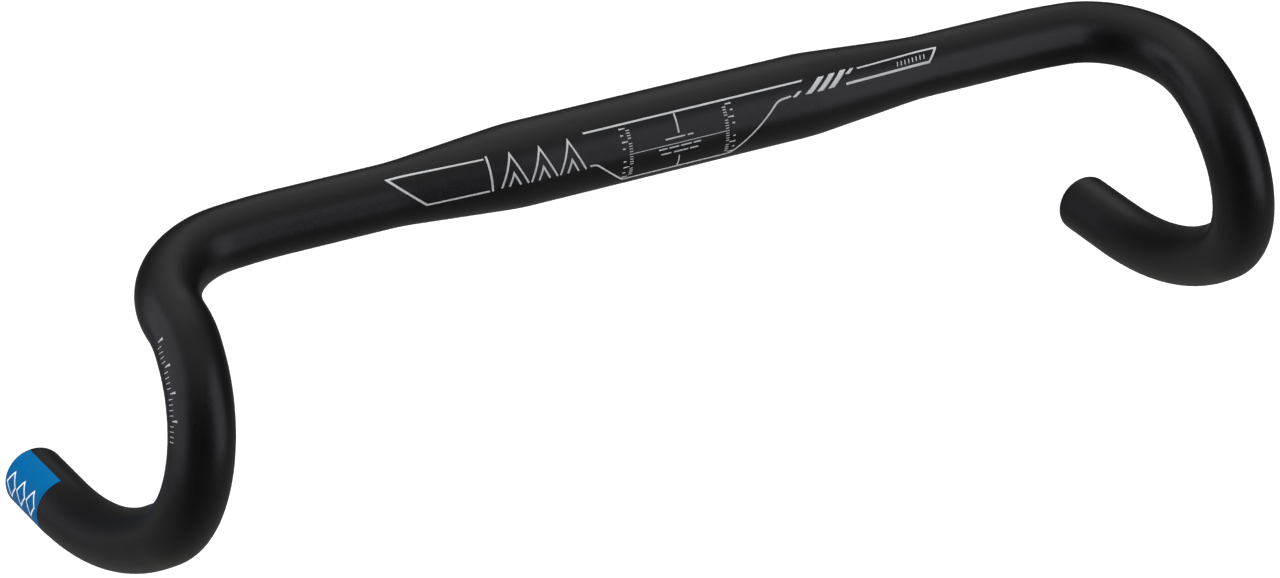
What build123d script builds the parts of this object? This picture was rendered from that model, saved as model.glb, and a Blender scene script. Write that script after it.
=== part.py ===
from build123d import *
import math
import os

os.makedirs("parts", exist_ok=True)

# Road drop handlebar, one bent and butted alloy tube with its printed marks and one label.
# Frame: origin at the middle of the stem clamp, +X along the bar, -Y towards the front of
# the bicycle, +Z up with both drops level. Left and right are the rider's. Millimetres.

# Tube sizes.
clamp_radius = 15.9
grip_radius = 11.9
clamp_wall = 2.3
grip_wall = 1.7
clamp_inner = clamp_radius - clamp_wall
grip_inner = grip_radius - grip_wall
rim_break = 0.4

# The clamp barrel tapers to the grip size between these two distances from the middle.
taper_start = 62.0
taper_end = 109.0
taper_blend = 130.0
top_end = 150.0

# The hook lies in one flared plane: x = plane_x + plane_y * y + plane_z * z.
plane_x = 210.0
plane_y = 0.025
plane_z = -0.17

# Corner points of the hook's centre line as (y, z), then the radius of each bend.
shoulder_x = 164.0
hook_corners = [(-3.0, -2.0), (-43.5, -11.5), (-92.0, -56.5), (-2.0, -113.5), (67.5, -113.5)]
bend_radii = [280.0, 37.0, 26.0, 44.0, 150.0]

# Printed marks and label.
ink = 0.06
label_thickness = 0.12
bold = 0.68
thin = 0.36
level_angle = 4.0


def on_hook(y, z):
    """A point of the hook's flared plane."""
    return (plane_x + plane_y * y + plane_z * z, y, z)


def offset_sides(points, widths):
    """Both edges of a mitred stroke along an open line of points, with a width for each run."""
    steps = [Vector(b[0] - a[0], b[1] - a[1]).normalized() for a, b in zip(points, points[1:])]
    left, right = [], []
    for i, (x, y) in enumerate(points):
        run_before = max(i - 1, 0)
        run_after = min(i, len(steps) - 1)
        before = steps[run_before]
        after = steps[run_after]
        turn = before.X * after.Y - before.Y * after.X
        if run_before == run_after:
            across = Vector(-before.Y, before.X) * (widths[run_before] / 2)
        else:
            across = (after * widths[run_before] - before * widths[run_after]) * (0.5 / turn)
        left.append((x + across.X, y + across.Y))
        right.append((x - across.X, y - across.Y))
    return left, right


def draw_stroke(points, *widths):
    """Adds a mitred stroke to the sketch being built, with one width or one for each run."""
    if len(widths) == 1:
        widths = widths * (len(points) - 1)
    left, right = offset_sides(points, widths)
    Polygon(*left, *reversed(right), align=None)


def draw_polygon(points, mode=Mode.ADD):
    """Adds a closed polygon to the sketch being built, or cuts it away."""
    Polygon(*points, align=None, mode=mode)


def barrel_height(distance):
    """Front-view height of a mark that lies this far round the clamp barrel from its level."""
    return clamp_radius * math.sin(math.radians(level_angle) + distance / clamp_radius)


def top_profile(extra, barrel, grip, reach):
    """Edge of the straight top's section: barrel, two tapers and two grip stretches."""
    return FilletPolyline(
        (-reach, grip + extra),
        (-taper_end, grip + extra),
        (-taper_start, barrel + extra),
        (taper_start, barrel + extra),
        (taper_end, grip + extra),
        (reach, grip + extra),
        radius=taper_blend,
    )


# Centre line of the left-hand hook, from the end of the straight top to the open end.
corner_points = [on_hook(y, z) for y, z in hook_corners]
with BuildLine() as hook_line:
    FilletPolyline((top_end, 0, 0), (shoulder_x, 0, 0), *corner_points, radius=bend_radii)
hook_path = hook_line.wires()[0]
hook_length = hook_path.length
print("hook centre line", hook_length, "half length", hook_length + top_end)

plane_normal = Vector(1, -plane_y, -plane_z).normalized()


def hook_frame(from_top):
    """Plane across the hook's tube: X points outwards from the bicycle, Y out of the bend."""
    where = hook_path.position_at(from_top, position_mode=PositionMode.LENGTH)
    along = hook_path.tangent_at(from_top, position_mode=PositionMode.LENGTH)
    side = (plane_normal - along * plane_normal.dot(along)).normalized()
    return Plane(origin=where, x_dir=side, z_dir=along)


# The tube: butted top, and a hook swept on each side.
with BuildPart() as straight_top:
    with BuildSketch(Plane.XY):
        with BuildLine():
            outer_edge = top_profile(0.0, clamp_radius, grip_radius, top_end)
            inner_edge = top_profile(0.0, clamp_inner, grip_inner, top_end)
            Line(outer_edge @ 0, inner_edge @ 0)
            Line(outer_edge @ 1, inner_edge @ 1)
        make_face()
    revolve(axis=Axis.X)

with BuildPart() as left_hook:
    with BuildSketch(Plane(origin=(top_end, 0, 0), z_dir=(1, 0, 0))):
        Circle(grip_radius)
        Circle(grip_inner, mode=Mode.SUBTRACT)
    sweep(path=hook_path)
    rim = left_hook.faces().sort_by(Axis.Y)[-1]
    chamfer(rim.edges(), rim_break)

with BuildPart() as handlebar_tube:
    add(straight_top.part)
    add(left_hook.part)
    add(mirror(left_hook.part, about=Plane.YZ))

# A sleeve of ink on the straight top, cut to shape by each printed mark.
with BuildPart() as ink_sleeve:
    with BuildSketch(Plane.XY):
        with BuildLine():
            skin_edge = top_profile(ink, clamp_radius, grip_radius, top_end - 15)
            metal_edge = top_profile(0.0, clamp_radius, grip_radius, top_end - 15)
            Line(skin_edge @ 0, metal_edge @ 0)
            Line(skin_edge @ 1, metal_edge @ 1)
        make_face()
    revolve(axis=Axis.X)

# Marks on the top are drawn in front view: X along the bar, Y of the sketch upwards.
front_view = Plane(origin=(0, 0, 0), x_dir=(1, 0, 0), z_dir=(0, -1, 0))
stamp_depth = 20.0

# Open-ended panel line on the right taper, and the rule beside it. Widths are as seen from the
# front, so the run near the top, where the tube slopes away, is the narrowest.
with BuildPart() as right_panel_outline:
    with BuildSketch(front_view):
        corners = [(-77.6, 10.4), (-114.7, 9.7), (-101.8, -0.95), (-77.6, -0.55)]
        draw_stroke(corners, 0.41, 0.78, 0.66)
    extrude(amount=stamp_depth)
    add(ink_sleeve.part, mode=Mode.INTERSECT)

with BuildPart() as right_panel_rule:
    with BuildSketch(front_view):
        draw_stroke([(-76.4, 11.1), (-76.4, -0.8)], 0.76)
    extrude(amount=stamp_depth)
    add(ink_sleeve.part, mode=Mode.INTERSECT)

# Plain ridge of outlined peaks.
peak_count = 3
peak_pitch = 11.7
peak_low = -0.3
peak_high = 10.6
first_peak = -67.6
with BuildPart() as ridge_emblem:
    with BuildSketch(front_view):
        for k in range(peak_count):
            middle = first_peak + k * peak_pitch
            half = peak_pitch / 2 - 0.6
            outer_peak = [(middle - half, peak_low), (middle, peak_high), (middle + half, peak_low)]
            inner_peak = [(middle - 2.2, peak_low), (middle, 4.3), (middle + 2.2, peak_low)]
            draw_stroke(outer_peak, bold)
            draw_stroke(inner_peak, bold)
    extrude(amount=stamp_depth)
    add(ink_sleeve.part, mode=Mode.INTERSECT)

# Upper and lower lines of the clamp panel.
upper_line_height = 11.53
with BuildPart() as clamp_panel_upper_line:
    with BuildSketch(front_view):
        half = bold * 0.35
        low = upper_line_height - half
        high = upper_line_height + half
        draw_polygon([(-37.3, low), (54.0, low), (54.9, high), (-37.6, high)])
    extrude(amount=stamp_depth)
    add(ink_sleeve.part, mode=Mode.INTERSECT)

lower_corners = [
    (-37.3, 0.35),
    (-34.4, 0.15),
    (-22.9, -9.6),
    (22.6, -9.6),
    (42.4, 7.3),
    (48.1, 7.75),
]
lower_bends = [3.0, 2.5, 5.0, 6.0]
with BuildPart() as clamp_panel_lower_line:
    with BuildSketch(front_view):
        left, right = offset_sides(lower_corners, [bold * 0.9] * 5)
        half = bold * 0.45
        turns = [1, -1, -1, 1]
        with BuildLine():
            left_bends = [r + half * t for r, t in zip(lower_bends, turns)]
            right_bends = [r - half * t for r, t in zip(lower_bends, turns)]
            edge_a = FilletPolyline(*left, radius=left_bends)
            edge_b = FilletPolyline(*right, radius=right_bends)
            Line(edge_a @ 0, edge_b @ 0)
            Line(edge_a @ 1, edge_b @ 1)
        make_face()
    extrude(amount=stamp_depth)
    add(ink_sleeve.part, mode=Mode.INTERSECT)

# Centre marks for lining the bar up in the stem, and the level line across them.
with BuildPart() as centre_mark_upper:
    with BuildSketch(front_view):
        draw_stroke([(0, upper_line_height - 0.35), (0, 4.75)], 0.62)
    extrude(amount=stamp_depth)
    add(ink_sleeve.part, mode=Mode.INTERSECT)

with BuildPart() as centre_mark_lower:
    with BuildSketch(front_view):
        draw_stroke([(0, -4.15), (0, -9.2)], 0.42)
    extrude(amount=stamp_depth)
    add(ink_sleeve.part, mode=Mode.INTERSECT)

level_reach = 20.9
with BuildPart() as level_line:
    with BuildSketch(front_view):
        draw_stroke([(-level_reach, barrel_height(0)), (level_reach, barrel_height(0))], 0.24)
    extrude(amount=stamp_depth)
    add(ink_sleeve.part, mode=Mode.INTERSECT)

# Angle scales beside the stem faceplate: a fine column of 1 mm steps,
# and a coarse column of wedges every 2.5 mm, long at each 5 mm.
fine_inner = 19.4
fine_outer = 20.8
coarse_outer = 23.4
fine_steps = [n for n in range(-10, 11) if n % 5 != 0]
coarse_steps = [-10.0, -7.5, -5.0, -2.5, 2.5, 5.0, 7.5, 10.0]


def draw_fine_column(side):
    """Fine ticks of the scale on one side, 1 or -1."""
    for step in fine_steps:
        low = barrel_height(step - 0.14)
        high = barrel_height(step + 0.14)
        points = [
            (side * fine_inner, low),
            (side * fine_outer, low),
            (side * fine_outer, high),
            (side * fine_inner, high),
        ]
        draw_polygon(points)


def draw_coarse_column(side):
    """Wedge-shaped coarse ticks of the scale on one side, 1 or -1."""
    for step in coarse_steps:
        if step % 5 == 0:
            tip = fine_outer + 0.1
        else:
            tip = coarse_outer - 1.1
        points = [
            (side * coarse_outer, barrel_height(step - 0.3)),
            (side * tip, barrel_height(step - 0.14)),
            (side * tip, barrel_height(step + 0.14)),
            (side * coarse_outer, barrel_height(step + 0.3)),
        ]
        draw_polygon(points)


with BuildPart() as clamp_scale_right_fine:
    with BuildSketch(front_view):
        draw_fine_column(-1)
    extrude(amount=stamp_depth)
    add(ink_sleeve.part, mode=Mode.INTERSECT)

with BuildPart() as clamp_scale_right_coarse:
    with BuildSketch(front_view):
        draw_coarse_column(-1)
    extrude(amount=stamp_depth)
    add(ink_sleeve.part, mode=Mode.INTERSECT)

with BuildPart() as clamp_scale_left_fine:
    with BuildSketch(front_view):
        draw_fine_column(1)
    extrude(amount=stamp_depth)
    add(ink_sleeve.part, mode=Mode.INTERSECT)

with BuildPart() as clamp_scale_left_coarse:
    with BuildSketch(front_view):
        draw_coarse_column(1)
    extrude(amount=stamp_depth)
    add(ink_sleeve.part, mode=Mode.INTERSECT)

# Three rows of plain dashes where the bar's data are printed: row height, then dash ends.
dash_rows = [
    (3.35, [(-5.8, 2.4), (3.5, 5.9)]),
    (-0.15, [(-8.8, -5.3), (-4.5, -0.4), (0.4, 4.9), (5.7, 8.8)]),
    (-2.2, [(-7.8, -3.6), (-2.5, 3.4), (4.2, 7.6)]),
]
with BuildPart() as data_rows:
    with BuildSketch(front_view):
        for height, dashes in dash_rows:
            for start, stop in dashes:
                draw_stroke([(start, height), (stop, height)], 0.5)
    extrude(amount=stamp_depth)
    add(ink_sleeve.part, mode=Mode.INTERSECT)

# Slanted dots at both ends of the bars, and three plain slanted bars between them.
with BuildPart() as slanted_dots:
    with BuildSketch(front_view):
        draw_polygon([(48.8, 7.3), (50.2, 7.1), (53.0, 8.6), (51.6, 8.7)])
        draw_polygon([(73.0, 10.0), (74.8, 9.8), (77.4, 11.0), (76.0, 11.1)])
    extrude(amount=stamp_depth)
    add(ink_sleeve.part, mode=Mode.INTERSECT)

bar_foot = [54.2, 59.2, 64.2]
bar_width = 2.6
bar_lean = 7.2
with BuildPart() as slanted_bars:
    with BuildSketch(front_view):
        for foot in bar_foot:
            head = foot + bar_lean
            lower_edge = [(foot, 7.2), (foot + bar_width, 7.1)]
            upper_edge = [(head + bar_width, 11.3), (head, 11.4)]
            draw_polygon(lower_edge + upper_edge)
    extrude(amount=stamp_depth)
    add(ink_sleeve.part, mode=Mode.INTERSECT)

# Open-ended panel line on the left taper, and a row of short upright ticks inside it.
with BuildPart() as left_panel_outline:
    with BuildSketch(front_view):
        corners = [(78.9, 10.6), (114.7, 9.75), (110.2, 6.2), (72.3, 7.0)]
        draw_stroke(corners, 0.35, 0.6, 0.76)
    extrude(amount=stamp_depth)
    add(ink_sleeve.part, mode=Mode.INTERSECT)

tick_count = 8
tick_pitch = 1.75
with BuildPart() as left_panel_ticks:
    with BuildSketch(front_view):
        for k in range(tick_count):
            x = 96.2 + k * tick_pitch
            draw_stroke([(x, 7.6), (x + 0.5, 8.9)], thin)
    extrude(amount=stamp_depth)
    add(ink_sleeve.part, mode=Mode.INTERSECT)

# A sleeve of ink on the hook, for the brake lever height scale.
with BuildPart() as hook_sleeve:
    with BuildSketch(Plane(origin=(top_end, 0, 0), z_dir=(1, 0, 0))):
        Circle(grip_radius + ink)
        Circle(grip_radius, mode=Mode.SUBTRACT)
    sweep(path=hook_path)

# Lever scale: one wedge then four ticks, repeated four times down the front of the bend.
lever_start = 92.0
lever_step = 1.82
lever_ticks = 20
wedge_every = 5
drift_from = 10
drift_turn = 0.65
with BuildPart() as lever_scale_right:
    for k in range(lever_ticks):
        frame = hook_frame(lever_start + k * lever_step)
        drift = drift_turn * max(k - drift_from, 0)
        if k % wedge_every == 0:
            turn = 17.5 - drift
            tip_half, head_half = 0.1, 0.42
            reach = 1.35
        else:
            turn = 9.5 - drift
            tip_half, head_half = 0.12, 0.12
            reach = 1.2
        tube_axis = Axis((0, 0, 0), frame.z_dir)
        around = frame.x_dir.rotate(tube_axis, turn + 90)
        outwards = frame.x_dir.rotate(tube_axis, turn)
        tip = [(-reach, tip_half), (-reach, -tip_half)]
        head = [(reach, -head_half), (reach, head_half)]
        with BuildSketch(Plane(origin=frame.origin, x_dir=around, z_dir=outwards)):
            draw_polygon(tip + head)
        extrude(amount=stamp_depth)
    add(hook_sleeve.part, mode=Mode.INTERSECT)

with BuildPart() as lever_scale_left:
    add(lever_scale_right.part)

# The label wraps the outward side of one drop's open end and stops just short of the rim.
label_long = 30.0
label_margin = 0.8
label_turn = 74.5
label_start = hook_length - label_long
label_stop = hook_length - label_margin
straight_start = hook_length - 25.4


def path_point(from_top):
    """Point of the hook's centre line at this distance from the end of the straight top."""
    return hook_path.position_at(from_top, position_mode=PositionMode.LENGTH)


with BuildLine() as label_line:
    arc_middle = path_point((label_start + straight_start) / 2)
    ThreePointArc(path_point(label_start), arc_middle, path_point(straight_start))
    Line(path_point(straight_start), path_point(label_stop))
label_path = label_line.wires()[0]

# Wedge of the tube's section that the label covers, centred on the outward side.
wedge_reach = 20.0
wedge_x = wedge_reach * math.cos(math.radians(label_turn))
wedge_y = wedge_reach * math.sin(math.radians(label_turn))
with BuildPart() as label_wedge:
    with BuildSketch(hook_frame(label_start - 2)):
        wedge_points = [
            (0, 0),
            (wedge_x, -wedge_y),
            (wedge_reach, -wedge_reach),
            (wedge_reach, wedge_reach),
            (wedge_x, wedge_y),
        ]
        draw_polygon(wedge_points)
    extrude(amount=label_long + 4)

with BuildPart() as end_label:
    with BuildSketch(hook_frame(label_start)):
        Circle(grip_radius + label_thickness)
        Circle(grip_radius, mode=Mode.SUBTRACT)
    sweep(path=label_path)
    add(label_wedge.part, mode=Mode.INTERSECT)

with BuildPart() as emblem_sleeve:
    with BuildSketch(hook_frame(label_start)):
        Circle(grip_radius + label_thickness + ink)
        Circle(grip_radius + label_thickness, mode=Mode.SUBTRACT)
    sweep(path=label_path)

# A row of outlined lozenges printed on the label.
lozenge_count = 3
lozenge_pitch = 8.8
lozenge_half_long = 4.0
lozenge_half_wide = 5.3
end_frame = hook_frame(hook_length - 14.9)
label_view = Plane(origin=end_frame.origin, x_dir=end_frame.z_dir, z_dir=end_frame.x_dir)
with BuildPart() as end_label_emblem:
    with BuildSketch(label_view):
        for k in range(lozenge_count):
            x = (k - 1) * lozenge_pitch
            y = 0.7
            a = lozenge_half_long
            b = lozenge_half_wide
            draw_polygon([(x - a, y), (x, y - b), (x + a, y), (x, y + b)])
            a -= 0.75
            b -= 0.95
            draw_polygon([(x - a, y), (x, y - b), (x + a, y), (x, y + b)], Mode.SUBTRACT)
    extrude(amount=stamp_depth)
    add(emblem_sleeve.part, mode=Mode.INTERSECT)

# The label, its print and the right lever scale sit on the -X side of the bar.
right_side = [end_label, end_label_emblem, lever_scale_right]
for piece in right_side:
    flipped = mirror(piece.part, about=Plane.YZ)
    with BuildPart() as flipped_part:
        add(flipped)
    piece.part = flipped_part.part

pieces = {
    "handlebar_tube": handlebar_tube,
    "end_label": end_label,
    "end_label_emblem": end_label_emblem,
    "right_panel_outline": right_panel_outline,
    "right_panel_rule": right_panel_rule,
    "ridge_emblem": ridge_emblem,
    "clamp_panel_upper_line": clamp_panel_upper_line,
    "clamp_panel_lower_line": clamp_panel_lower_line,
    "centre_mark_upper": centre_mark_upper,
    "centre_mark_lower": centre_mark_lower,
    "level_line": level_line,
    "clamp_scale_right_fine": clamp_scale_right_fine,
    "clamp_scale_right_coarse": clamp_scale_right_coarse,
    "clamp_scale_left_fine": clamp_scale_left_fine,
    "clamp_scale_left_coarse": clamp_scale_left_coarse,
    "data_rows": data_rows,
    "slanted_dots": slanted_dots,
    "slanted_bars": slanted_bars,
    "left_panel_outline": left_panel_outline,
    "left_panel_ticks": left_panel_ticks,
    "lever_scale_right": lever_scale_right,
    "lever_scale_left": lever_scale_left,
}
for name, piece in pieces.items():
    piece.part.label = name
    export_step(piece.part, "parts/" + name + ".step")
    print(name, "solids", len(piece.part.solids()), "volume", piece.part.volume)
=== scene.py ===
import math

import bmesh
import bpy
from mathutils import Matrix, Vector


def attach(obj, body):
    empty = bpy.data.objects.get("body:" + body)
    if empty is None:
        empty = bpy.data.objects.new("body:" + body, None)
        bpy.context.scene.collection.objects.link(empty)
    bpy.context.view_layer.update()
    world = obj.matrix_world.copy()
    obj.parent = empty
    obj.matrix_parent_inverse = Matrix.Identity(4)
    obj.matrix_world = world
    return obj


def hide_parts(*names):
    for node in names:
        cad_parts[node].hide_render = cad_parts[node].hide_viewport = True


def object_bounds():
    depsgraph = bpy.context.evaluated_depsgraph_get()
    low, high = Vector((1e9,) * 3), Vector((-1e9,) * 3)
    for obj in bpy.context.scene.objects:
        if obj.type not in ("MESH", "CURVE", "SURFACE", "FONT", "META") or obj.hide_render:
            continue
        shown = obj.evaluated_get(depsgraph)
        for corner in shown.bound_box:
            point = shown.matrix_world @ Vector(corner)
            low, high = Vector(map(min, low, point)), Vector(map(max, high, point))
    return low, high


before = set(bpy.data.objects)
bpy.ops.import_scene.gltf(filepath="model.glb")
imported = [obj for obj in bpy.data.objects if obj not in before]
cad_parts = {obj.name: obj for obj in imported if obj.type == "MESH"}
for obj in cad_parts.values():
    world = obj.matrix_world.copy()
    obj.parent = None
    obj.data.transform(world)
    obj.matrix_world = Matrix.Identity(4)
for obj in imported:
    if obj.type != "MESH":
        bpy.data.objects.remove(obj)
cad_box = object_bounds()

# Drop handlebar: one bent alloy tube with printed marks and a label. The pieces are drawn here
# from the same dimensions as the CAD, in millimetres, and scaled to metres as they are made.

MM = 0.001

# How finely the meshes are drawn.
SEGMENTS = 96
ARC_STEP = math.radians(2.5)
LONGEST_STEP = 3.0
TAPER_STEP = 1.5
BARREL_STEP = 4.0
FILM_STEP = 0.8
RIM_STEPS = 4
RIM_ROOM = 1.0
BORE_RIM_ROOM = 3.0

# Tube sizes.
CLAMP_RADIUS = 15.9
GRIP_RADIUS = 11.9
CLAMP_INNER = 13.6
GRIP_INNER = 10.2
RIM_BREAK = 0.4
TAPER_START = 62.0
TAPER_END = 109.0
TAPER_BLEND = 130.0
TOP_END = 150.0

# Up to this far from the middle the tube's rings are evenly spaced, and closer over the tapers.
STRAIGHT_REACH = 122.0
CLOSE_START = TAPER_START - 10.0
CLOSE_END = TAPER_END + 9.0

# The left hook lies in a flared plane: x is PLANE_X + PLANE_Y * y + PLANE_Z * z.
PLANE_X = 210.0
PLANE_Y = 0.025
PLANE_Z = -0.17

# The centre line's last corner on the straight top, its corners down the hook as (y, z), and the
# radius of the bend at each but the last.
SHOULDER_X = 164.0
HOOK_CORNERS = [(-3.0, -2.0), (-43.5, -11.5), (-92.0, -56.5), (-2.0, -113.5), (67.5, -113.5)]
BEND_RADII = [280.0, 37.0, 26.0, 44.0, 150.0]

# Printed marks and label. The level line is this far round the barrel from the very front.
INK = 0.06
LABEL_THICKNESS = 0.12
BOLD = 0.68
THIN = 0.36
LEVEL_ANGLE = math.radians(4.0)


# ---------------------------------------------------------------- centre line and tube


def straight_run(start, end):
    """Length of a straight run, and its point and direction at a distance."""
    along = (end - start).normalized()

    def place(distance):
        return start + along * distance, along

    return (end - start).length, place


def bend(start, centre, travel, ahead, radius, turn):
    """Length of a circular bend, and its point and direction at a distance."""
    axis = travel.cross(ahead).normalized()
    arm = start - centre

    def place(distance):
        spin = Matrix.Rotation(distance / radius, 3, axis)
        return centre + spin @ arm, spin @ travel

    return radius * turn, place


def rounded_line(corners, radii):
    """A line with rounded inner corners, as (kind, step, length, place) of each run and bend."""
    pieces = []
    here = corners[0]
    for corner, after, radius in zip(corners[1:], corners[2:], radii):
        travel = (corner - here).normalized()
        ahead = (after - corner).normalized()
        turn = travel.angle(ahead)
        reach = radius * math.tan(turn / 2)
        start = corner - travel * reach
        inwards = (ahead - travel).normalized()
        centre = corner + inwards * (radius / math.cos(turn / 2))
        pieces.append(("run", LONGEST_STEP, *straight_run(here, start)))
        step = min(radius * ARC_STEP, LONGEST_STEP)
        pieces.append(("bend", step, *bend(start, centre, travel, ahead, radius, turn)))
        here = corner + ahead * reach
    pieces.append(("run", LONGEST_STEP, *straight_run(here, corners[-1])))
    return pieces


def line_length(pieces):
    """Length of a rounded line."""
    return sum(piece[2] for piece in pieces)


def place_on(pieces, distance):
    """Point and direction of a rounded line at a distance from its start."""
    for _, _, length, place in pieces:
        if distance <= length or place is pieces[-1][3]:
            return place(distance)
        distance -= length


def step_distances(pieces):
    """Distances along a rounded line, close together round its bends."""
    found = [0.0]
    for _, step, length, _ in pieces:
        count = max(1, math.ceil(length / step))
        start = found[-1]
        found += [start + length * k / count for k in range(1, count + 1)]
    return found


def top_radius(x, barrel, grip):
    """Radius of the straight top at x, from the clamp barrel through the taper to the grip."""
    distance = abs(x)
    slope = math.atan2(barrel - grip, TAPER_END - TAPER_START)
    reach = TAPER_BLEND * math.tan(slope / 2)
    if distance <= TAPER_START - reach:
        return barrel
    if distance >= TAPER_END + reach:
        return grip
    if distance < TAPER_START + reach * math.cos(slope):
        into = distance - TAPER_START + reach
        return barrel - TAPER_BLEND + math.sqrt(TAPER_BLEND**2 - into**2)
    if distance > TAPER_END - reach * math.cos(slope):
        into = TAPER_END + reach - distance
        return grip + TAPER_BLEND - math.sqrt(TAPER_BLEND**2 - into**2)
    return barrel - (distance - TAPER_START) * math.tan(slope)


def on_hook(y, z):
    """A point of the left hook's flared plane."""
    return Vector((PLANE_X + PLANE_Y * y + PLANE_Z * z, y, z))


def mirrored(point):
    """The same point on the other side of the bar."""
    return Vector((-point.x, point.y, point.z))


left_corners = [Vector((SHOULDER_X, 0, 0))] + [on_hook(y, z) for y, z in HOOK_CORNERS]
right_corners = [mirrored(corner) for corner in reversed(left_corners)]
bar_line = rounded_line(right_corners + left_corners, BEND_RADII[::-1] + BEND_RADII)
hook_line = rounded_line([Vector((TOP_END, 0, 0))] + left_corners, BEND_RADII)
BAR_LENGTH = line_length(bar_line)
HOOK_LENGTH = line_length(hook_line)
plane_normal = Vector((1, -PLANE_Y, -PLANE_Z)).normalized()


def wall_radius(distance, barrel, grip):
    """Radius of the tube's skin at a distance along the whole bar's centre line."""
    x = distance - BAR_LENGTH / 2
    if abs(x) > TOP_END:
        return grip
    return top_radius(x, barrel, grip)


def bar_distances():
    """Where the tube has a ring of points: at the line's own steps, and closer over the tapers."""
    middle = BAR_LENGTH / 2
    found = [d for d in step_distances(bar_line) if abs(d - middle) > STRAIGHT_REACH]
    x = -STRAIGHT_REACH
    while x <= STRAIGHT_REACH:
        found.append(middle + x)
        if CLOSE_START <= abs(x) <= CLOSE_END:
            x += TAPER_STEP
        else:
            x += BARREL_STEP
    return sorted(found)


def rim_steps():
    """How far a rim's rounded edge is in from the end and from the wall, from the face inwards."""
    angles = [math.pi / 2 * k / RIM_STEPS for k in range(RIM_STEPS + 1)]
    return [(RIM_BREAK * (1 - math.sin(a)), RIM_BREAK * (1 - math.cos(a))) for a in reversed(angles)]


def tube_rings():
    """(distance, radius, is bore) of each ring: the outside, one rim, the bore and the other rim."""
    spots = bar_distances()
    edge = rim_steps()
    rings = [(inset, GRIP_RADIUS - drop, False) for inset, drop in edge]
    for d in spots:
        if RIM_ROOM < d < BAR_LENGTH - RIM_ROOM:
            rings.append((d, wall_radius(d, CLAMP_RADIUS, GRIP_RADIUS), False))
    rings += [(BAR_LENGTH - inset, GRIP_RADIUS - drop, False) for inset, drop in reversed(edge)]
    rings += [(BAR_LENGTH - inset, GRIP_INNER + drop, False) for inset, drop in edge]
    for d in reversed(spots[::2]):
        if BORE_RIM_ROOM < d < BAR_LENGTH - BORE_RIM_ROOM:
            rings.append((d, wall_radius(d, CLAMP_INNER, GRIP_INNER), True))
    rings += [(inset, GRIP_INNER + drop, False) for inset, drop in reversed(edge)]
    return rings


def carried_frames(distances):
    """Centre, and two directions across the tube that don't twist, at each rising distance."""
    frames = {}
    across = None
    before = None
    for d in sorted(set(distances)):
        centre, along = place_on(bar_line, d)
        if across is None:
            across = along.orthogonal().normalized()
        else:
            across = before.rotation_difference(along) @ across
            across = (across - along * along.dot(across)).normalized()
        frames[d] = (centre, across, along.cross(across))
        before = along
    return frames


def finish_mesh(name, vertices, faces, materials, face_slots=None, sharp=40.0):
    """A mesh object in metres, with outward normals, smooth but for its sharp edges."""
    mesh = bpy.data.meshes.new(name)
    mesh.from_pydata([tuple(v * MM for v in vertex) for vertex in vertices], [], faces)
    for material in materials:
        mesh.materials.append(material)
    if face_slots:
        mesh.polygons.foreach_set("material_index", face_slots)
    work = bmesh.new()
    work.from_mesh(mesh)
    bmesh.ops.recalc_face_normals(work, faces=work.faces)
    work.to_mesh(mesh)
    work.free()
    mesh.polygons.foreach_set("use_smooth", [True] * len(mesh.polygons))
    mesh.set_sharp_from_angle(angle=math.radians(sharp))
    piece = bpy.data.objects.new(name, mesh)
    bpy.context.scene.collection.objects.link(piece)
    return piece


def make_tube(name, skin_material, bore_material):
    """The bent tube as one closed skin: outside, both rims and the bore."""
    rings = tube_rings()
    frames = carried_frames([ring[0] for ring in rings])
    vertices = []
    for distance, radius, is_bore in rings:
        centre, across, up = frames[distance]
        for k in range(SEGMENTS):
            a = 2 * math.pi * k / SEGMENTS
            vertices.append(centre + (across * math.cos(a) + up * math.sin(a)) * radius)
    faces = []
    face_slots = []
    count = len(rings)
    for i in range(count):
        j = (i + 1) % count
        for k in range(SEGMENTS):
            m = (k + 1) % SEGMENTS
            faces.append((i * SEGMENTS + k, i * SEGMENTS + m, j * SEGMENTS + m, j * SEGMENTS + k))
            face_slots.append(int(rings[i][2] or rings[j][2]))
    return finish_mesh(name, vertices, faces, [skin_material, bore_material], face_slots, 60.0)


# ---------------------------------------------------------------- films: ink and label

BEND_PARTS = 6


def blend_points(a, b, share):
    """The point at this share of the way from a to b."""
    return (a[0] + (b[0] - a[0]) * share, a[1] + (b[1] - a[1]) * share)


def offset_sides(points, widths):
    """Both edges of a mitred stroke along a line of points, with a width for each run."""
    steps = [(Vector(b) - Vector(a)).normalized() for a, b in zip(points, points[1:])]
    left, right = [], []
    for i, (x, y) in enumerate(points):
        run_before = max(i - 1, 0)
        run_after = min(i, len(steps) - 1)
        before = steps[run_before]
        after = steps[run_after]
        turn = before.x * after.y - before.y * after.x
        if run_before == run_after:
            across = Vector((-before.y, before.x)) * (widths[run_before] / 2)
        else:
            across = (after * widths[run_before] - before * widths[run_after]) * (0.5 / turn)
        left.append((x + across.x, y + across.y))
        right.append((x - across.x, y - across.y))
    return left, right


def strip(left, right, step=FILM_STEP, columns=2, closed=False):
    """Rows of points between two edges, close enough to follow the tube, and whether they close."""
    rows = []
    count = len(left)
    last = count if closed else count - 1
    for i in range(last):
        j = (i + 1) % count
        left_run = (Vector(left[j]) - Vector(left[i])).length
        right_run = (Vector(right[j]) - Vector(right[i])).length
        parts = max(1, math.ceil(max(left_run, right_run) / step))
        for k in range(parts):
            a = blend_points(left[i], left[j], k / parts)
            b = blend_points(right[i], right[j], k / parts)
            rows.append([blend_points(a, b, c / columns) for c in range(columns + 1)])
    if not closed:
        rows.append([blend_points(left[-1], right[-1], c / columns) for c in range(columns + 1)])
    return rows, closed


def stroke(points, *widths):
    """A mitred stroke along open points, with one width or one for each run."""
    if len(widths) == 1:
        widths = widths * (len(points) - 1)
    return strip(*offset_sides(points, widths))


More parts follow.
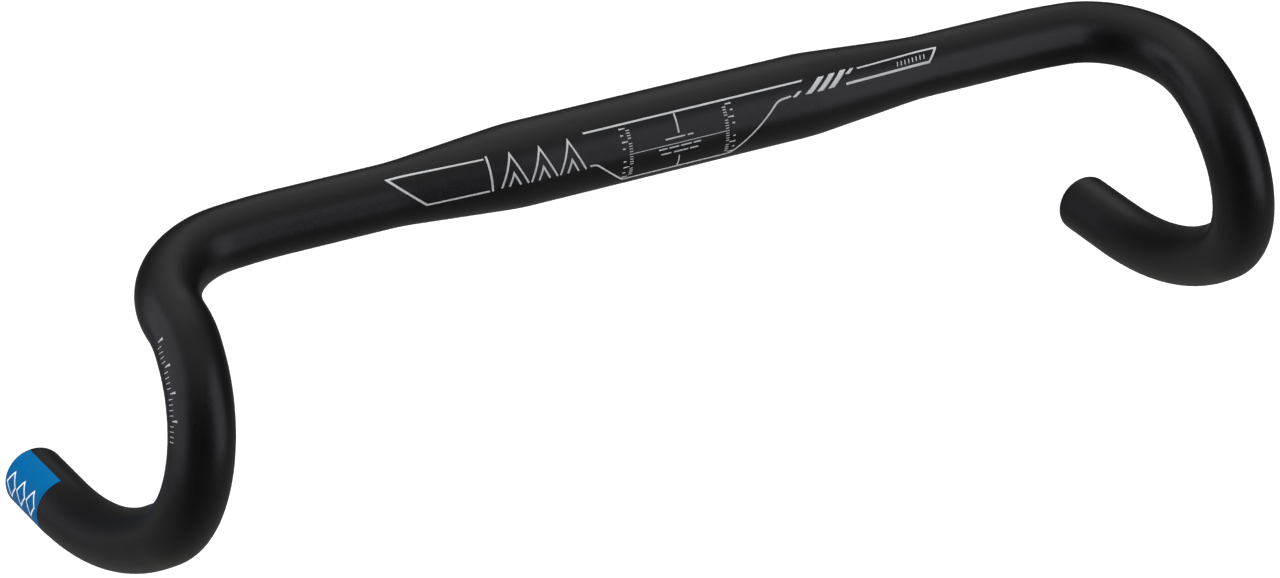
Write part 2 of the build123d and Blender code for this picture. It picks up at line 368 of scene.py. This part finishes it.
def patch(a, b, c, d):
    """A filled four-cornered shape."""
    columns = max(2, math.ceil((Vector(d) - Vector(a)).length / FILM_STEP))
    return strip([a, b], [d, c], columns=columns)


def rounded_stroke(points, radii, width):
    """A stroke whose inner corners are rounded."""
    line = rounded_line([Vector((x, y, 0)) for x, y in points], radii)
    left, right = [], []
    distances = []
    start = 0.0
    for kind, _, length, _ in line:
        parts = 1 if kind == "run" else BEND_PARTS
        distances += [start + length * k / parts for k in range(parts)]
        start += length
    distances.append(start)
    for d in distances:
        point, along = place_on(line, d)
        left.append((point.x - along.y * width / 2, point.y + along.x * width / 2))
        right.append((point.x + along.y * width / 2, point.y - along.x * width / 2))
    return strip(left, right)


def make_film(name, node, strips, wrap, thickness, material, mirror=False):
    """A thin closed film over each strip, wrapped on the metal, in place of a CAD node."""
    vertices = []
    faces = []
    for rows, closed in strips:
        height = len(rows)
        width = len(rows[0])
        base = len(vertices)
        for lift in (0.0, thickness):
            for row in rows:
                for u, v in row:
                    point = wrap(u, v, lift)
                    vertices.append(mirrored(point) if mirror else point)
        layer = height * width

        def at(level, row, column):
            return base + level * layer + (row % height) * width + column

        row_pairs = height if closed else height - 1
        for i in range(row_pairs):
            for k in range(width - 1):
                faces.append((at(1, i, k), at(1, i + 1, k), at(1, i + 1, k + 1), at(1, i, k + 1)))
                faces.append((at(0, i, k), at(0, i, k + 1), at(0, i + 1, k + 1), at(0, i + 1, k)))
            for k in (0, width - 1):
                faces.append((at(0, i, k), at(0, i + 1, k), at(1, i + 1, k), at(1, i, k)))
        if not closed:
            for i in (0, height - 1):
                for k in range(width - 1):
                    faces.append((at(0, i, k), at(0, i, k + 1), at(1, i, k + 1), at(1, i, k)))
    piece = finish_mesh(name, vertices, faces, [material])
    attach(piece, "root")
    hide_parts(node)


def wrap_top(x, z, lift):
    """A front-view point laid on the front of the straight top."""
    radius = top_radius(x, CLAMP_RADIUS, GRIP_RADIUS) + lift
    return Vector((x, -math.sqrt(radius**2 - z**2), z))


def wrap_hook(from_top, turn, lift):
    """A point on the left hook: distance down its centre line, angle from the outward side."""
    centre, along = place_on(hook_line, from_top)
    outwards = (plane_normal - along * plane_normal.dot(along)).normalized()
    around = along.cross(outwards)
    return centre + (outwards * math.cos(turn) + around * math.sin(turn)) * (GRIP_RADIUS + lift)


def barrel_height(distance):
    """Front-view height of a mark that lies this far round the clamp barrel from its level."""
    return CLAMP_RADIUS * math.sin(LEVEL_ANGLE + distance / CLAMP_RADIUS)


# ---------------------------------------------------------------- materials


def node_material(name):
    """A new node material, with its shader, its object coordinates and its tree."""
    material = bpy.data.materials.new(name)
    material.use_nodes = True
    tree = material.node_tree
    shader = tree.nodes["Principled BSDF"]
    place = tree.nodes.new("ShaderNodeTexCoord").outputs["Object"]
    return material, tree, shader, place


def noise(tree, place, scale, detail=3.0, rough=0.55):
    """A noise texture's value at this many features to the metre."""
    texture = tree.nodes.new("ShaderNodeTexNoise")
    texture.inputs["Scale"].default_value = scale
    texture.inputs["Detail"].default_value = detail
    texture.inputs["Roughness"].default_value = rough
    tree.links.new(place, texture.inputs["Vector"])
    return texture.outputs["Fac"]


def two_tone(tree, factor, dark, light):
    """A colour that runs from dark to light over the factor's middle range."""
    ramp = tree.nodes.new("ShaderNodeValToRGB")
    ramp.color_ramp.elements[0].position = 0.35
    ramp.color_ramp.elements[1].position = 0.65
    ramp.color_ramp.elements[0].color = (*dark, 1)
    ramp.color_ramp.elements[1].color = (*light, 1)
    tree.links.new(factor, ramp.inputs["Fac"])
    return ramp.outputs["Color"]


def spread(tree, factor, low, high):
    """The factor's middle range spread over low to high."""
    node = tree.nodes.new("ShaderNodeMapRange")
    node.inputs["From Min"].default_value = 0.3
    node.inputs["From Max"].default_value = 0.7
    node.inputs["To Min"].default_value = low
    node.inputs["To Max"].default_value = high
    tree.links.new(factor, node.inputs["Value"])
    return node.outputs["Result"]


def bump(tree, height, shader, strength, depth):
    """Bumps of this depth in metres on the shader's surface."""
    node = tree.nodes.new("ShaderNodeBump")
    node.inputs["Strength"].default_value = strength
    node.inputs["Distance"].default_value = depth
    tree.links.new(height, node.inputs["Height"])
    tree.links.new(node.outputs["Normal"], shader.inputs["Normal"])


def blasted_black():
    """Bead-blasted, black-anodised alloy: near black, fine grained, with a broad soft shine."""
    material, tree, shader, place = node_material("blasted_black")
    grain = noise(tree, place, 1500.0, 4.0, 0.7)
    patches = noise(tree, place, 45.0, 4.0)
    tone = two_tone(tree, patches, (0.0017, 0.0016, 0.0019), (0.0029, 0.0028, 0.0032))
    tree.links.new(tone, shader.inputs["Base Color"])
    tree.links.new(spread(tree, grain, 0.27, 0.4), shader.inputs["Roughness"])
    bump(tree, grain, shader, 0.7, 0.00008)
    return material


def bore_black():
    """The anodised bore, not blasted: dark and dull, with a fainter mottle than the outside."""
    material, tree, shader, place = node_material("bore_black")
    mottle = noise(tree, place, 900.0, 2.0)
    tone = two_tone(tree, mottle, (0.016, 0.016, 0.017), (0.03, 0.03, 0.031))
    tree.links.new(tone, shader.inputs["Base Color"])
    tree.links.new(spread(tree, mottle, 0.5, 0.65), shader.inputs["Roughness"])
    bump(tree, mottle, shader, 0.3, 0.00004)
    return material


def screen_ink(name, dark, light, rough_low, rough_high):
    """Satin screen ink that takes a little of the grain below it."""
    material, tree, shader, place = node_material(name)
    grain = noise(tree, place, 1800.0, 2.0)
    patches = noise(tree, place, 260.0, 3.0)
    tree.links.new(two_tone(tree, patches, dark, light), shader.inputs["Base Color"])
    tree.links.new(spread(tree, grain, rough_low, rough_high), shader.inputs["Roughness"])
    bump(tree, grain, shader, 0.25, 0.00002)
    return material


def glossy_vinyl():
    """Glossy printed vinyl with a trace of orange peel."""
    material, tree, shader, place = node_material("glossy_vinyl")
    peel = noise(tree, place, 420.0, 2.0)
    patches = noise(tree, place, 90.0, 3.0)
    tone = two_tone(tree, patches, (0.0, 0.093, 0.25), (0.0, 0.102, 0.27))
    tree.links.new(tone, shader.inputs["Base Color"])
    tree.links.new(spread(tree, peel, 0.2, 0.28), shader.inputs["Roughness"])
    shader.inputs["Specular IOR Level"].default_value = 0.08
    bump(tree, peel, shader, 0.12, 0.00004)
    return material


def pale_floor():
    """Plain pale studio floor."""
    material, tree, shader, place = node_material("pale_floor")
    patches = noise(tree, place, 1.5, 3.0)
    tone = two_tone(tree, patches, (0.83, 0.83, 0.83), (0.86, 0.86, 0.86))
    tree.links.new(tone, shader.inputs["Base Color"])
    shader.inputs["Roughness"].default_value = 0.9
    return material


skin = blasted_black()
bore = bore_black()
ink = screen_ink("print_ink", (0.41, 0.42, 0.425), (0.47, 0.48, 0.485), 0.4, 0.5)
label_white = screen_ink("label_white", (0.76, 0.87, 0.92), (0.82, 0.91, 0.95), 0.3, 0.4)
vinyl = glossy_vinyl()


# ---------------------------------------------------------------- the bar and its marks

tube = make_tube("bar_tube", skin, bore)
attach(tube, "root")
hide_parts("handlebar_tube")


def print_top(node, strips):
    """Ink on the front of the straight top."""
    make_film("ink_" + node, node, strips, wrap_top, INK, ink)


# Widths are as seen from the front, so the run near the top of the tube is the narrowest.
corners = [(-77.6, 10.4), (-114.7, 9.7), (-101.8, -0.95), (-77.6, -0.55)]
print_top("right_panel_outline", [stroke(corners, 0.41, 0.78, 0.66)])
RULE_X = -76.4
print_top("right_panel_rule", [stroke([(RULE_X, 11.1), (RULE_X, -0.8)], 0.76)])

# The emblem is three peaks, each with a smaller one inside.
FIRST_PEAK = -67.6
PEAK_PITCH = 11.7
PEAK_HALF = PEAK_PITCH / 2 - 0.6
INNER_HALF = 2.2
PEAK_FOOT = -0.3
PEAK_TOP = 10.6
INNER_TOP = 4.3


def peak(middle, half, top):
    """One peak of the emblem, a chevron standing on the peaks' foot."""
    return stroke([(middle - half, PEAK_FOOT), (middle, top), (middle + half, PEAK_FOOT)], BOLD)


peaks = []
for k in range(3):
    middle = FIRST_PEAK + k * PEAK_PITCH
    peaks.append(peak(middle, PEAK_HALF, PEAK_TOP))
    peaks.append(peak(middle, INNER_HALF, INNER_TOP))
print_top("ridge_emblem", peaks)

UPPER_LINE = 11.53
UPPER_LINE_HALF = BOLD * 0.35
low = UPPER_LINE - UPPER_LINE_HALF
high = UPPER_LINE + UPPER_LINE_HALF
print_top("clamp_panel_upper_line", [patch((-37.3, low), (54.0, low), (54.9, high), (-37.6, high))])

lower_corners = [(-37.3, 0.35), (-34.4, 0.15), (-22.9, -9.6), (22.6, -9.6), (42.4, 7.3), (48.1, 7.75)]
print_top("clamp_panel_lower_line", [rounded_stroke(lower_corners, [3.0, 2.5, 5.0, 6.0], BOLD * 0.9)])

print_top("centre_mark_upper", [stroke([(0, UPPER_LINE - 0.35), (0, 4.75)], 0.62)])
print_top("centre_mark_lower", [stroke([(0, -4.15), (0, -9.2)], 0.42)])
LONG_TIP = 20.9
level = barrel_height(0)
print_top("level_line", [stroke([(-LONG_TIP, level), (LONG_TIP, level)], 0.24)])

# The angle scales have a fine tick at each millimetre round the barrel but every fifth, and a
# coarse one at each 2.5 mm either side of the level. Every second coarse tick is a long one.
FINE_INNER = 19.4
FINE_OUTER = 20.8
FINE_WIDTH = 0.28
COARSE_PITCH = 2.5
COARSE_HEAD = 23.4
SHORT_TIP = 22.3
HEAD_HALF = 0.3
TIP_HALF = 0.14


def fine_column(side):
    """Fine ticks of the angle scale on one side, 1 or -1."""
    found = []
    for step in range(-10, 11):
        if step % 5 != 0:
            z = barrel_height(step)
            found.append(stroke([(side * FINE_INNER, z), (side * FINE_OUTER, z)], FINE_WIDTH))
    return found


def coarse_column(side):
    """Wedge-shaped coarse ticks of the angle scale on one side, 1 or -1."""
    found = []
    head_x = side * COARSE_HEAD
    for k in (-4, -3, -2, -1, 1, 2, 3, 4):
        middle = k * COARSE_PITCH
        tip_x = side * (LONG_TIP if k % 2 == 0 else SHORT_TIP)
        head_low = (head_x, barrel_height(middle - HEAD_HALF))
        head_high = (head_x, barrel_height(middle + HEAD_HALF))
        tip_low = (tip_x, barrel_height(middle - TIP_HALF))
        tip_high = (tip_x, barrel_height(middle + TIP_HALF))
        found.append(patch(head_low, tip_low, tip_high, head_high))
    return found


print_top("clamp_scale_right_fine", fine_column(-1))
print_top("clamp_scale_right_coarse", coarse_column(-1))
print_top("clamp_scale_left_fine", fine_column(1))
print_top("clamp_scale_left_coarse", coarse_column(1))

# Rows of dashes stand for the small print, as (height, [(start, end) of each dash]).
dash_rows = [
    (3.35, [(-5.8, 2.4), (3.5, 5.9)]),
    (-0.15, [(-8.8, -5.3), (-4.5, -0.4), (0.4, 4.9), (5.7, 8.8)]),
    (-2.2, [(-7.8, -3.6), (-2.5, 3.4), (4.2, 7.6)]),
]
print_top("data_rows", [stroke([(a, z), (b, z)], 0.5) for z, dashes in dash_rows for a, b in dashes])

first_dot = patch((48.8, 7.3), (50.2, 7.1), (53.0, 8.6), (51.6, 8.7))
second_dot = patch((73.0, 10.0), (74.8, 9.8), (77.4, 11.0), (76.0, 11.1))
print_top("slanted_dots", [first_dot, second_dot])

BAR_LEAN = 7.2
BAR_WIDTH = 2.6
bars = []
for foot in (54.2, 59.2, 64.2):
    head = foot + BAR_LEAN
    bars.append(patch((foot, 7.2), (foot + BAR_WIDTH, 7.1), (head + BAR_WIDTH, 11.3), (head, 11.4)))
print_top("slanted_bars", bars)

corners = [(78.9, 10.6), (114.7, 9.75), (110.2, 6.2), (72.3, 7.0)]
print_top("left_panel_outline", [stroke(corners, 0.35, 0.6, 0.76)])
TICK_PITCH = 1.75
ticks = [stroke([(96.2 + k * TICK_PITCH, 7.6), (96.7 + k * TICK_PITCH, 8.9)], THIN) for k in range(8)]
print_top("left_panel_ticks", ticks)

# The lever scale has a wedge at every fifth place. Past the tenth it drifts round the tube.
LEVER_FIRST = 92.0
LEVER_PITCH = 1.82
LEVER_COUNT = 20
LEVER_DRIFT = math.radians(0.65)
WEDGE_TURN = math.radians(17.5)
TICK_TURN = math.radians(9.5)
LEVER_MARK_STEP = 0.08


def lever_marks():
    """Wedges and ticks of the lever height scale, as (distance down the hook, angle)."""
    found = []
    for k in range(LEVER_COUNT):
        middle = LEVER_FIRST + k * LEVER_PITCH
        drift = LEVER_DRIFT * max(k - 10, 0)
        if k % 5 == 0:
            turn = WEDGE_TURN - drift
            reach, tip_half, head_half = 1.35, 0.1, 0.42
        else:
            turn = TICK_TURN - drift
            reach, tip_half, head_half = 1.2, 0.12, 0.12
        a = turn - reach / GRIP_RADIUS
        b = turn + reach / GRIP_RADIUS
        found.append(
            strip(
                [(middle - tip_half, a), (middle - head_half, b)],
                [(middle + tip_half, a), (middle + head_half, b)],
                step=LEVER_MARK_STEP,
            )
        )
    return found


def print_hook(node, mirror):
    """Ink on the front of one hook; the marks are drawn on the left one and mirrored to the right."""
    make_film("ink_" + node, node, lever_marks(), wrap_hook, INK, ink, mirror)


print_hook("lever_scale_left", False)
print_hook("lever_scale_right", True)

# The label wraps the outward side of the right drop's open end.
LABEL_START = HOOK_LENGTH - 30.0
LABEL_STOP = HOOK_LENGTH - 0.8
LABEL_TURN = math.radians(74.5)
LABEL_ROWS = 30
LABEL_COLUMNS = 40
label_grid = []
for k in range(LABEL_ROWS):
    d = LABEL_START + (LABEL_STOP - LABEL_START) * k / (LABEL_ROWS - 1)
    turns = [LABEL_TURN * (2 * c / LABEL_COLUMNS - 1) for c in range(LABEL_COLUMNS + 1)]
    label_grid.append([(d, turn) for turn in turns])
make_film(
    "vinyl_end_label",
    "end_label",
    [(label_grid, False)],
    wrap_hook,
    LABEL_THICKNESS,
    vinyl,
    True,
)


# The label's print is three lozenge outlines, round a middle this far in from the drop's end.
EMBLEM_MIDDLE = 14.9
LOZENGE_PITCH = 8.8
LOZENGE_OUTER = (4.0, 5.3)
LOZENGE_INNER = (3.25, 4.35)
LOZENGE_LEVEL = 0.7


def wrap_label(along, across, lift):
    """A point drawn flat on the label, seen from outside, laid on its skin."""
    turn = math.asin(-across / (GRIP_RADIUS + LABEL_THICKNESS + lift))
    return wrap_hook(HOOK_LENGTH - EMBLEM_MIDDLE + along, turn, LABEL_THICKNESS + lift)


def lozenge(x, half_long, half_wide):
    """Corners of a lozenge on the label, round its middle at x."""
    y = LOZENGE_LEVEL
    return [(x - half_long, y), (x, y - half_wide), (x + half_long, y), (x, y + half_wide)]


lozenges = []
for k in (-1, 0, 1):
    x = k * LOZENGE_PITCH
    lozenges.append(strip(lozenge(x, *LOZENGE_OUTER), lozenge(x, *LOZENGE_INNER), closed=True))
make_film(
    "print_end_label_emblem",
    "end_label_emblem",
    lozenges,
    wrap_label,
    INK,
    label_white,
    True,
)


# ---------------------------------------------------------------- floor, light and camera

FLOOR_BELOW = 0.5
FLOOR_REACH = 20.0
floor_z = cad_box[0].z - FLOOR_BELOW
floor_sides = [(-1, -1), (1, -1), (1, 1), (-1, 1)]
floor_corners = [(x * FLOOR_REACH, y * FLOOR_REACH, floor_z) for x, y in floor_sides]
floor_mesh = bpy.data.meshes.new("floor")
floor_mesh.from_pydata(floor_corners, [], [(0, 1, 2, 3)])
floor_mesh.materials.append(pale_floor())
floor = bpy.data.objects.new("floor", floor_mesh)
bpy.context.scene.collection.objects.link(floor)

# The tube mirrors the studio's walls and ceiling, and not the floor.
floor.visible_glossy = False

# Greys of the studio from straight down, 0, to straight up, 1: dim below, dark at eye level, and
# a soft pale ceiling. The lowest is warm.
LOWEST = (0.12, (0.205, 0.2, 0.195))
EYE_LEVEL = (0.52, (0.04, 0.04, 0.041))
GREYS = ((0.33, 0.15), (0.46, 0.055), (0.66, 0.06), (0.86, 0.31), (1.0, 0.48))
BLUER = 1.02

# The walls are darker low down in front, towards the bar's right.
LOW_CORNER = (-0.377, -0.727, -0.574)
LOW_CORNER_STRENGTH = 0.42


def wall_colour(tree, direction):
    """The colour of the studio in a direction, from its height alone."""
    split = tree.nodes.new("ShaderNodeSeparateXYZ")
    tree.links.new(direction, split.inputs["Vector"])
    height = tree.nodes.new("ShaderNodeMapRange")
    height.inputs["From Min"].default_value = -1.0
    tree.links.new(split.outputs["Z"], height.inputs["Value"])
    walls = tree.nodes.new("ShaderNodeValToRGB")
    for end, (position, colour) in zip(walls.color_ramp.elements, (LOWEST, EYE_LEVEL)):
        end.position = position
        end.color = (*colour, 1)
    for position, grey in GREYS:
        stop = walls.color_ramp.elements.new(position)
        stop.color = (grey, grey, grey * BLUER, 1)
    tree.links.new(height.outputs["Result"], walls.inputs["Fac"])
    return walls.outputs["Color"]


def wall_strength(tree, direction):
    """The strength of the studio in a direction: full, but less towards the low corner."""
    corner = tree.nodes.new("ShaderNodeVectorMath")
    corner.operation = "DOT_PRODUCT"
    corner.inputs[1].default_value = LOW_CORNER
    tree.links.new(direction, corner.inputs[0])
    dimming = tree.nodes.new("ShaderNodeMapRange")
    dimming.inputs["From Min"].default_value = 0.68
    dimming.inputs["From Max"].default_value = 0.95
    dimming.inputs["To Min"].default_value = 1.0
    dimming.inputs["To Max"].default_value = LOW_CORNER_STRENGTH
    tree.links.new(corner.outputs["Value"], dimming.inputs["Value"])
    return dimming.outputs["Result"]


def make_studio():
    """The world round the bar. Seen straight from the camera it is plain white."""
    world = bpy.data.worlds.new("studio")
    world.use_nodes = True
    tree = world.node_tree
    direction = tree.nodes.new("ShaderNodeTexCoord").outputs["Generated"]
    walls = tree.nodes["Background"]
    tree.links.new(wall_colour(tree, direction), walls.inputs["Color"])
    tree.links.new(wall_strength(tree, direction), walls.inputs["Strength"])
    backdrop = tree.nodes.new("ShaderNodeBackground")
    backdrop.inputs["Color"].default_value = (1.0, 1.0, 1.0, 1)
    seen = tree.nodes.new("ShaderNodeMixShader")
    tree.links.new(tree.nodes.new("ShaderNodeLightPath").outputs["Is Camera Ray"], seen.inputs["Fac"])
    tree.links.new(walls.outputs["Background"], seen.inputs[1])
    tree.links.new(backdrop.outputs["Background"], seen.inputs[2])
    tree.links.new(seen.outputs["Shader"], tree.nodes["World Output"].inputs["Surface"])
    return world


bpy.context.scene.world = make_studio()
bpy.context.scene.view_settings.view_transform = "Standard"

NEUTRAL = (1.0, 0.99, 1.02)
COOL = (0.975, 0.97, 1.09)


def softbox(name, azimuth, elevation, distance, width, height, radiance, colour):
    """A rectangular soft light facing the bar. Azimuth 0 is in front and 90 on the +X side."""
    light = bpy.data.lights.new(name, "AREA")
    light.shape = "RECTANGLE"
    light.size = width
    light.size_y = height
    light.energy = radiance * math.pi * width * height
    light.color = colour
    lamp = bpy.data.objects.new(name, light)
    a = math.radians(azimuth)
    e = math.radians(elevation)
    toward = Vector((math.sin(a) * math.cos(e), -math.cos(a) * math.cos(e), math.sin(e)))
    lamp.location = toward * distance
    lamp.rotation_mode = "QUATERNION"
    lamp.rotation_quaternion = toward.to_track_quat("Z", "Y")
    bpy.context.scene.collection.objects.link(lamp)


softbox("front_softbox", 38, 8, 2.0, 1.4, 2.2, 0.92, COOL)
softbox("side_softbox", 254, 15, 2.2, 3.0, 2.4, 0.78, COOL)
softbox("top_softbox", 170, 70, 2.2, 2.6, 2.2, 0.18, NEUTRAL)
softbox("back_softbox", 150, 35, 2.4, 1.1, 1.4, 0.3, NEUTRAL)

# An even, very soft light from high up keeps the whole floor white; the tube doesn't mirror it.
overhead = bpy.data.lights.new("overhead", "SUN")
overhead.energy = 3.7
overhead.angle = math.radians(60)
overhead_lamp = bpy.data.objects.new("overhead", overhead)
overhead_lamp.rotation_euler = (math.radians(-10), 0, 0)
overhead_lamp.visible_glossy = False
bpy.context.scene.collection.objects.link(overhead_lamp)

LENS = 140.6
CAMERA_AT = Vector((-0.78292, -1.49633, 0.76414))
TURN = math.radians(27.317)
DIP = math.radians(26.163)
ROLL = math.radians(1.611)
camera_data = bpy.data.cameras.new("camera")
camera_data.lens = LENS
camera_data.sensor_width = 36.0
camera_data.clip_start = 0.05
camera_data.clip_end = 100.0
camera = bpy.data.objects.new("camera", camera_data)
level_right = Vector((math.cos(TURN), -math.sin(TURN), 0))
level_up = Vector((math.sin(TURN) * math.sin(DIP), math.cos(TURN) * math.sin(DIP), math.cos(DIP)))
right = level_right * math.cos(ROLL) - level_up * math.sin(ROLL)
up = level_up * math.cos(ROLL) + level_right * math.sin(ROLL)
back = right.cross(up)
turned = Matrix((right, up, back)).transposed()
camera.matrix_world = Matrix.Translation(CAMERA_AT) @ turned.to_4x4()
bpy.context.scene.collection.objects.link(camera)
bpy.context.scene.camera = camera
